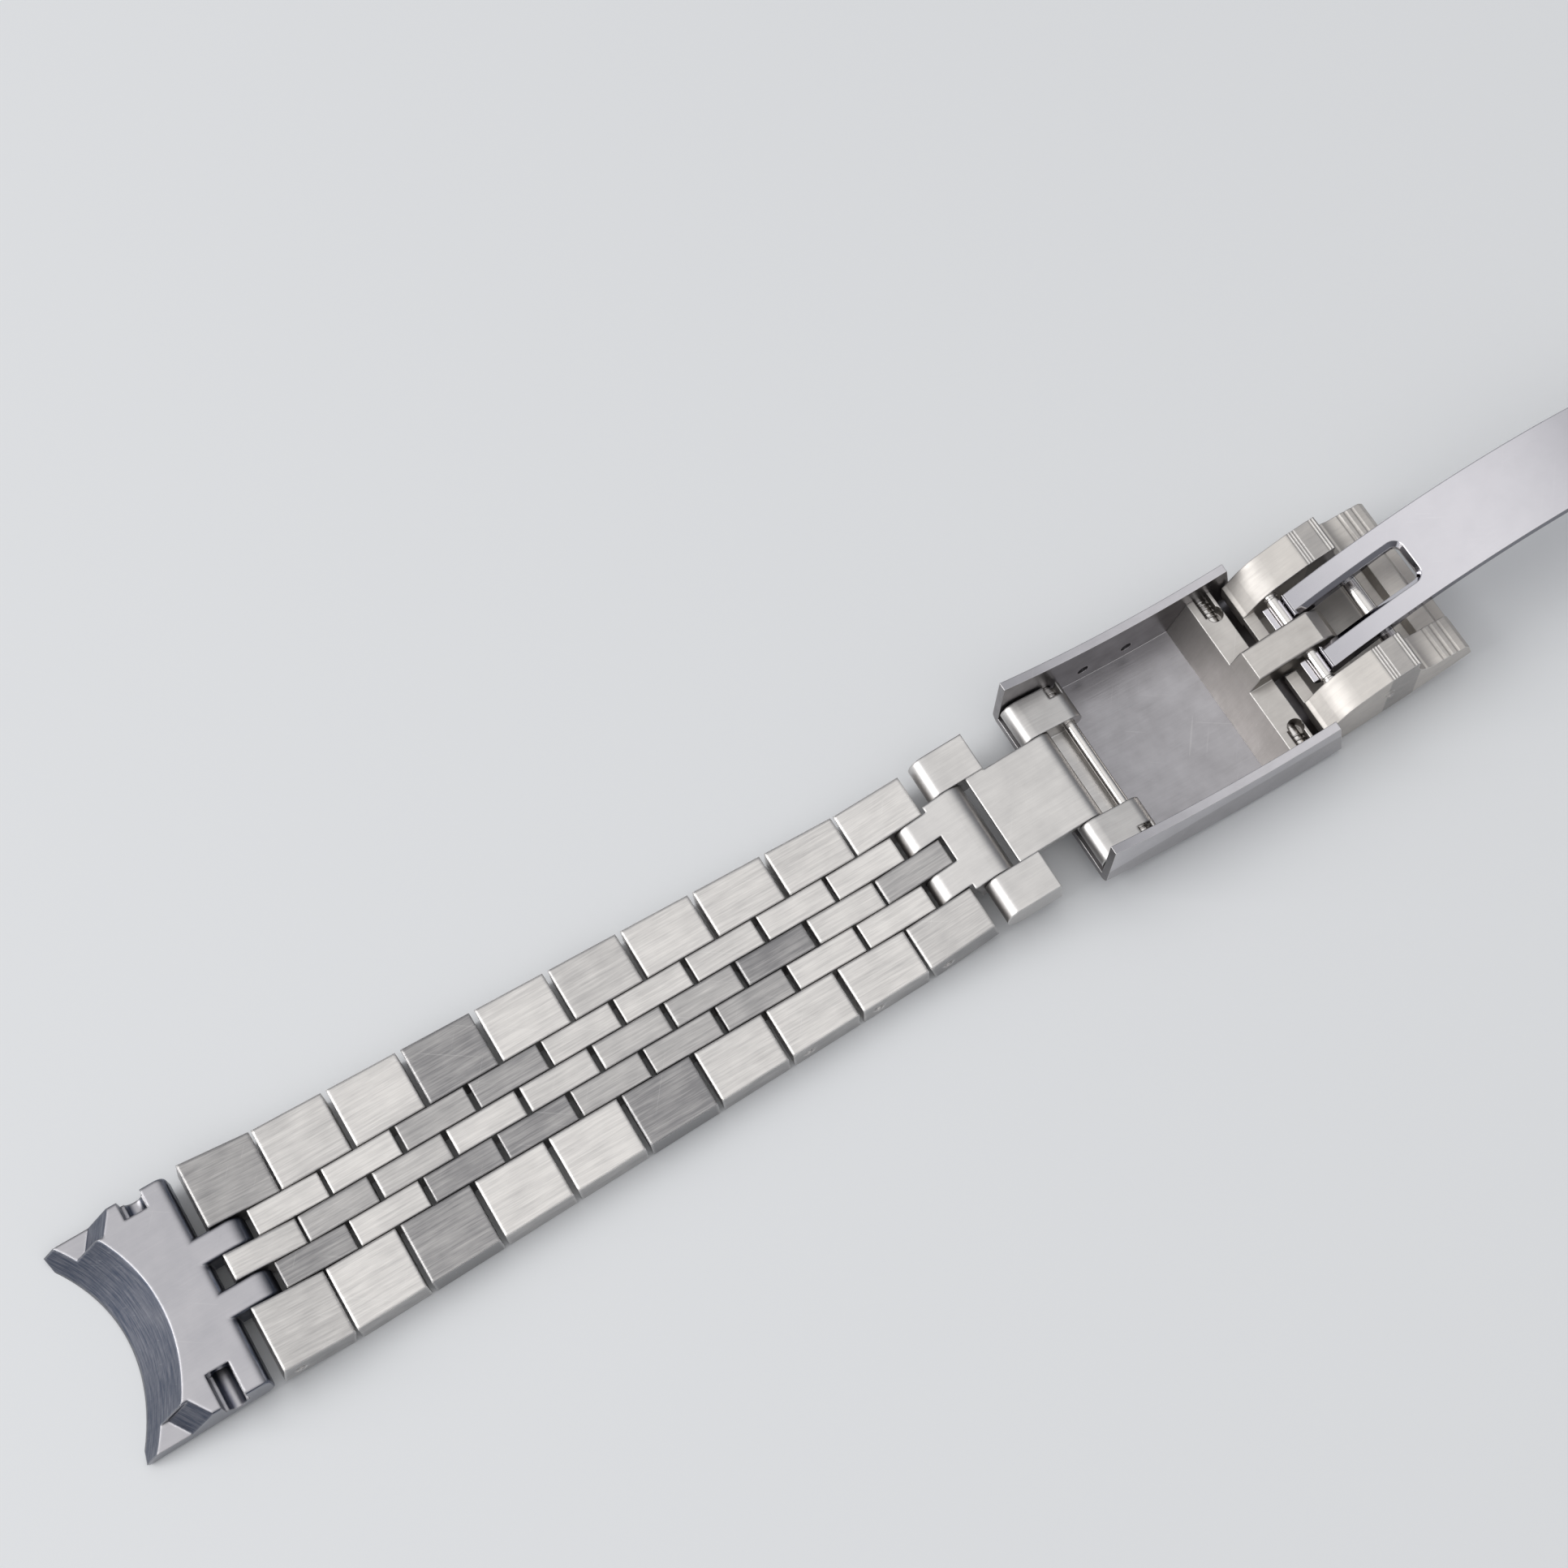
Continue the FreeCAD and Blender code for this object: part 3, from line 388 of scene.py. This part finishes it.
def addLamp(name, power, size, place, target):
    lamp = bpy.data.lights.new(name, "AREA")
    lamp.energy = power
    lamp.size = size
    holder = bpy.data.objects.new(name, lamp)
    bpy.context.scene.collection.objects.link(holder)
    holder.location = place
    aim = Vector(target) - Vector(place)
    holder.rotation_euler = aim.to_track_quat("-Z", "Y").to_euler()


def addWorld():
    world = bpy.data.worlds.new("studio")
    world.use_nodes = True
    bpy.context.scene.world = world
    maker = Maker("studio", world.node_tree)
    direction = maker.node("ShaderNodeTexCoord", {}, out="Generated")
    height = maker.node("ShaderNodeSeparateXYZ", {}, direction, out="Z")
    ramp = maker.node("ShaderNodeValToRGB", {"stops": skyStops}, height)
    seen = maker.node("ShaderNodeLightPath", {}, out="Is Camera Ray")
    tone = maker.mixed(seen, ramp, colour(studio["backdrop"]))
    sky = maker.node("ShaderNodeBackground", {}, tone, studio["worldStrength"])
    maker.node("ShaderNodeOutputWorld", {}, sky)


# The photograph's viewpoint, in the bracelet's own frame
viewpoint = {"azimuth": -23.437, "elevation": 69.041, "roll": -7.783, "distance": 0.259253,
             "target": (-0.06539, 0.014154, 0.0), "focal": 1.861, "sensor": 36.0}


def addCamera():
    a, e, r = (radians(viewpoint[key]) for key in ("azimuth", "elevation", "roll"))
    aim = Vector((-sin(a) * cos(e), cos(a) * cos(e), -sin(e)))
    level = Vector((cos(a), sin(a), 0.0))
    above = level.cross(aim)
    right = level * cos(r) + above * sin(r)
    top = above * cos(r) - level * sin(r)
    camera = bpy.data.cameras.new("camera")
    camera.sensor_width = viewpoint["sensor"]
    camera.lens = viewpoint["focal"] * viewpoint["sensor"]
    camera.clip_start = 0.01
    holder = bpy.data.objects.new("camera", camera)
    bpy.context.scene.collection.objects.link(holder)
    turn = Matrix((right, top, -aim)).transposed().to_4x4()
    eye = Vector(viewpoint["target"]) - aim * viewpoint["distance"]
    holder.matrix_world = Matrix.Translation(eye) @ turn
    bpy.context.scene.camera = holder


addFloor()
addWorld()
addLamp("key", studio["keyPower"], studio["keySize"], studio["keyPlace"], (-0.05, 0.0, 0.0))
addLamp("fill", studio["fillPower"], studio["fillSize"], studio["fillPlace"], (-0.05, 0.0, 0.0))
addCamera()
bpy.context.scene.view_settings.view_transform = "Standard"
print("studio and camera set")
